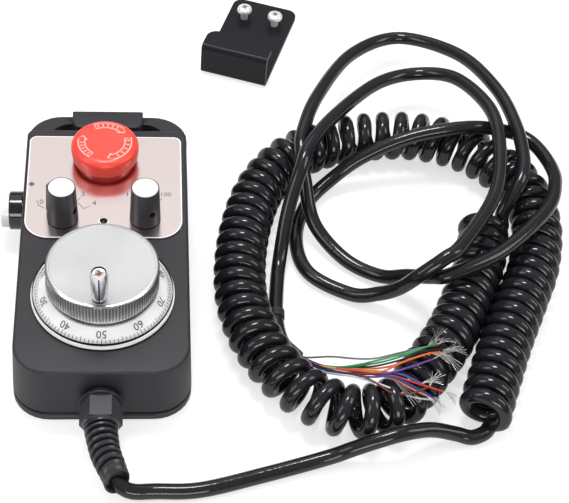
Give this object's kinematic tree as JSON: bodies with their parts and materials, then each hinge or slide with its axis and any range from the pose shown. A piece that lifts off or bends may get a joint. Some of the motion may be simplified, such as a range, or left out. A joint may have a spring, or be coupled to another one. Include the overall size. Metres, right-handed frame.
{
  "type": "pulse generator handwheel",
  "caption": "Handheld machine pendant with a cranked pulse handwheel, mushroom stop button, selector knobs, enable button, curly cord and wall bracket.",
  "frame": {"origin": "where the handwheel's axis meets the flat back of the pendant", "axes": "+X across the pendant away from the enable button, +Y along it to the hanging loop, +Z out of the dial"},
  "size_m": [0.2568, 0.3155, 0.0672],
  "materials": {
    "case_black": "satin black moulded housing",
    "cover_black": "satin black back cover",
    "seal_rubber": "black sealing rubber",
    "screw_steel": "zinc plated steel",
    "plate_silver": "fine brushed silver, very slightly pink",
    "bezel_white": "bright turned edge",
    "scale_white": "white with black ticks and numbers",
    "rim_metal": "fluted mid-grey metal",
    "face_white": "pale grey satin disc",
    "shaft_steel": "ground steel",
    "screw_black": "black oxide screw",
    "disc_steel": "etched steel disc",
    "gear_plastic": "tan engineering plastic",
    "crank_chrome": "polished chrome",
    "screw_copper": "coppery screw head",
    "inner_black": "black engineering plastic",
    "board_green": "green circuit board",
    "spring_brass": "phosphor bronze leaf",
    "terminal_green": "green terminal block",
    "stop_red_gloss": "glossy red collar",
    "stop_red": "glossy red mushroom head",
    "contact_cream": "cream contact block",
    "plunger_white": "off-white plunger",
    "spring_steel": "spring steel",
    "knob_black": "satin black knob",
    "knob_white": "white cap",
    "switch_brown": "brown switch body",
    "enable_black": "glossy black barrel",
    "enable_white": "white button cap",
    "switch_blue": "blue-black switch block",
    "led_dark": "dark unlit indicator lens",
    "led_rim": "bright indicator rim",
    "gland_black": "black nylon collar",
    "gland_cap": "black nylon cap nut",
    "guard_black": "black ribbed bend guard",
    "cord_black": "glossy black cord jacket",
    "wire_orange": "coloured conductor insulation",
    "bracket_black": "black satin sheet steel",
    "bracket_screw": "bright nickel plated screw"
  },
  "bodies": {
    "pendant": {"front_shell": "case_black", "back_cover": "cover_black", "cover_gasket": "seal_rubber", "cover_screws": "screw_steel", "face_plate": "plate_silver", "wheel_bezel": "bezel_white", "bezel_gasket": "seal_rubber", "encoder_can": "inner_black", "encoder_bearings": "shaft_steel", "encoder_board": "board_green", "detent_spring": "spring_brass", "terminal_block": "terminal_green", "bezel_studs": "screw_steel", "stop_collar": "stop_red_gloss", "stop_barrel": "inner_black", "stop_nut": "inner_black", "stop_contacts": "contact_cream", "stop_spring": "spring_steel", "axis_switch": "switch_brown", "axis_switch_nut": "screw_steel", "rate_switch": "switch_brown", "rate_switch_nut": "screw_steel", "enable_barrel": "enable_black", "enable_nut": "inner_black", "enable_switch": "switch_blue", "status_led": "led_dark", "led_bezel": "led_rim", "gland_collar": "gland_black", "gland_body": "gland_cap", "gland_seal": "seal_rubber", "gland_nut": "inner_black", "bend_guard": "guard_black", "cord_lead": "cord_black", "cord_curl": "cord_black", "cord_tail": "cord_black", "cord_wires": "wire_orange"},
    "handwheel": {"scale_ring": "scale_white", "wheel_rim": "rim_metal", "wheel_face": "face_white", "wheel_shaft": "shaft_steel", "wheel_set_screws": "screw_black", "code_disc": "disc_steel", "detent_wheel": "gear_plastic", "crank_screw": "screw_copper"},
    "crank": {"crank_handle": "crank_chrome"},
    "axis_selector": {"axis_knob": "knob_black", "axis_knob_cap": "knob_white", "axis_knob_screw": "screw_black", "axis_shaft": "shaft_steel"},
    "rate_selector": {"rate_knob": "knob_black", "rate_knob_cap": "knob_white", "rate_knob_screw": "screw_black", "rate_shaft": "shaft_steel"},
    "stop_push": {"stop_plunger": "plunger_white"},
    "stop_mushroom": {"stop_head": "stop_red"},
    "enable_push": {"enable_cap": "enable_white", "enable_stem": "plunger_white"},
    "wall_bracket": {"bracket": "bracket_black", "bracket_screws": "bracket_screw"}
  },
  "joints": [
    {"name": "handwheel_turn", "type": "hinge", "parent": "pendant", "child": "handwheel", "pos_m": [0, 0, 0], "axis": [0, 0, 1], "continuous": true},
    {"name": "crank_spin", "type": "hinge", "parent": "handwheel", "child": "crank", "pos_m": [-0.00066, -0.01899, 0.05], "axis": [0, 0, 1], "continuous": true},
    {"name": "axis_selector_turn", "type": "hinge", "parent": "pendant", "child": "axis_selector", "pos_m": [-0.0182, 0.0435, 0], "axis": [0, 0, 1], "range_deg": [-120, 0]},
    {"name": "rate_selector_turn", "type": "hinge", "parent": "pendant", "child": "rate_selector", "pos_m": [0.0175, 0.0435, 0], "axis": [0, 0, 1], "range_deg": [-60, 0]},
    {"name": "stop_press", "type": "slide", "parent": "pendant", "child": "stop_push", "axis": [0, 0, 1], "range_m": [-0.0024, 0], "stiffness_N_per_m": 2000, "springref_m": 0.001, "deforming": ["stop_spring"]},
    {"name": "stop_twist", "type": "hinge", "parent": "stop_push", "child": "stop_mushroom", "pos_m": [-0.0005, 0.0795, 0], "axis": [0, 0, 1], "range_deg": [-45, 0], "stiffness_Nm_per_rad": 0.05, "springref_deg": 5.73},
    {"name": "enable_press", "type": "slide", "parent": "pendant", "child": "enable_push", "axis": [1, 0, 0], "range_m": [0, 0.0022], "stiffness_N_per_m": 1500, "springref_m": -0.001},
    {"name": "bracket_lift", "type": "slide", "parent": "pendant", "child": "wall_bracket", "axis": [0, 0, 1], "range_m": [0, 0.08]}
  ]
}
